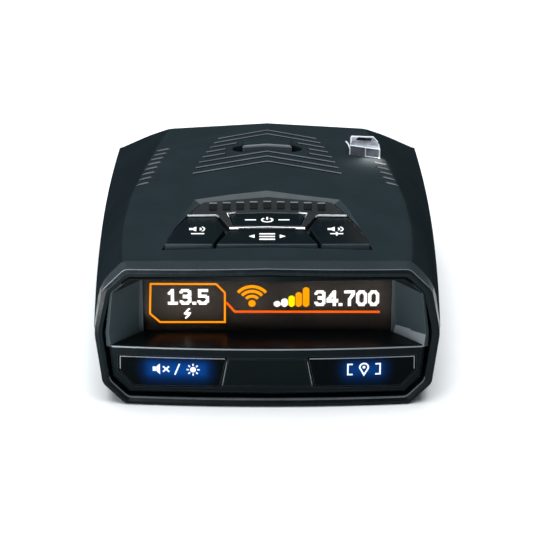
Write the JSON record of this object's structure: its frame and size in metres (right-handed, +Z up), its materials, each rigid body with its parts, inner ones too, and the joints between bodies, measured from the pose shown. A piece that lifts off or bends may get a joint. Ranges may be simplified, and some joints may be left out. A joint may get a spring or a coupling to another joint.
{
  "type": "radar detector",
  "caption": "Dashboard radar detector: wedge-shaped case with a framed display recess, roof keys, front buttons, and a windscreen bracket slot with its release.",
  "frame": {"origin": "bottom centre of the case, midway between the display end and the far end", "axes": "-Y towards the driver (display end), +Y towards the windscreen, +X to the driver's right, +Z up"},
  "size_m": [0.0818, 0.108, 0.0387],
  "materials": {
    "case_plastic": "fine moulded texture, matte",
    "bezel_plastic": "satin painted rim",
    "shroud_plastic": "satin",
    "panel_gloss": "gloss black",
    "button_gloss": "gloss black",
    "key_plastic": "semi-gloss black",
    "plunger_plastic": "matte",
    "display_glass": "smoked, polished",
    "display_panel": "lit dot display",
    "sheet_steel": "plated",
    "flex_film": "amber film",
    "circuit_board": "solder mask",
    "led_resin": "cast resin",
    "trim_plastic": "dark satin metallic",
    "badge_chrome": "bright plated",
    "switch_plastic": "matte",
    "tinned_steel": "tinned",
    "capacitor_sleeve": "shrunk sleeve",
    "screw_steel": "zinc plated",
    "cast_metal": "die cast",
    "antenna_ceramic": "fired ceramic",
    "clear_lens": "clear, polished",
    "sensor_resin": "dark resin",
    "infrared_glass": "dark red, polished",
    "speaker_plastic": "matte",
    "speaker_film": "pressed film",
    "magnet_metal": "plated",
    "foam_rubber": "closed-cell foam",
    "socket_plastic": "matte",
    "socket_metal": "plated shell",
    "label_film": "blank rating plate",
    "spring_steel": "drawn wire"
  },
  "bodies": {
    "housing": {"top_case": "case_plastic", "bottom_case": "case_plastic", "front_bezel": "bezel_plastic", "display_shroud": "shroud_plastic", "front_panel": "panel_gloss", "front_center_plate": "panel_gloss", "display_window": "display_glass", "oled_display": "display_panel", "display_bracket": "sheet_steel", "display_flex": "flex_film", "front_button_board": "circuit_board", "button_leds": "led_resin", "keypad_trim": "trim_plastic", "badge_ribs": "badge_chrome", "keypad_board": "circuit_board", "keypad_flex": "flex_film", "tact_switches": "switch_plastic", "main_board": "circuit_board", "processor_shield": "tinned_steel", "filter_capacitors": "capacitor_sleeve", "board_screws": "screw_steel", "case_screws": "screw_steel", "horn_antenna": "cast_metal", "rf_board": "circuit_board", "rf_shield": "tinned_steel", "gps_antenna": "antenna_ceramic", "laser_lens": "clear_lens", "top_laser_sensor": "sensor_resin", "rear_window": "infrared_glass", "forward_laser_sensor": "sensor_resin", "speaker_frame": "speaker_plastic", "speaker_cone": "speaker_film", "speaker_magnet": "magnet_metal", "speaker_gasket": "foam_rubber", "power_jack": "socket_plastic", "audio_jack": "socket_plastic", "usb_port": "socket_metal", "mount_socket": "case_plastic", "label_plate": "label_film", "release_spring": "spring_steel"},
    "power_key": {"power_button": "key_plastic", "power_plunger": "plunger_plastic"},
    "menu_key": {"menu_button": "key_plastic", "menu_plunger": "plunger_plastic"},
    "vol_down_key": {"vol_down_button": "key_plastic", "vol_down_plunger": "plunger_plastic"},
    "vol_up_key": {"vol_up_button": "key_plastic", "vol_up_plunger": "plunger_plastic"},
    "mute_key": {"mute_button": "button_gloss", "mute_plunger": "plunger_plastic"},
    "mark_key": {"mark_button": "button_gloss", "mark_plunger": "plunger_plastic"},
    "mount_release": {"release_button": "case_plastic"}
  },
  "joints": [
    {"name": "power_press", "type": "slide", "parent": "housing", "child": "power_key", "axis": [0, 0, -1], "range_m": [0, 0.0006], "stiffness_N_per_m": 400, "springref_m": -0.001},
    {"name": "menu_press", "type": "slide", "parent": "housing", "child": "menu_key", "axis": [0, 0, -1], "range_m": [0, 0.0006], "stiffness_N_per_m": 400, "springref_m": -0.001},
    {"name": "vol_down_press", "type": "slide", "parent": "housing", "child": "vol_down_key", "axis": [0, 0, -1], "range_m": [0, 0.0006], "stiffness_N_per_m": 400, "springref_m": -0.001},
    {"name": "vol_up_press", "type": "slide", "parent": "housing", "child": "vol_up_key", "axis": [0, 0, -1], "range_m": [0, 0.0006], "stiffness_N_per_m": 400, "springref_m": -0.001},
    {"name": "mute_press", "type": "slide", "parent": "housing", "child": "mute_key", "axis": [0, 1, 0], "range_m": [0, 0.0006], "stiffness_N_per_m": 400, "springref_m": -0.001},
    {"name": "mark_press", "type": "slide", "parent": "housing", "child": "mark_key", "axis": [0, 1, 0], "range_m": [0, 0.0006], "stiffness_N_per_m": 400, "springref_m": -0.001},
    {"name": "release_press", "type": "slide", "parent": "housing", "child": "mount_release", "axis": [0, 0, -1], "range_m": [0, 0.0015], "stiffness_N_per_m": 500, "springref_m": -0.001, "deforming": ["release_spring"]}
  ]
}
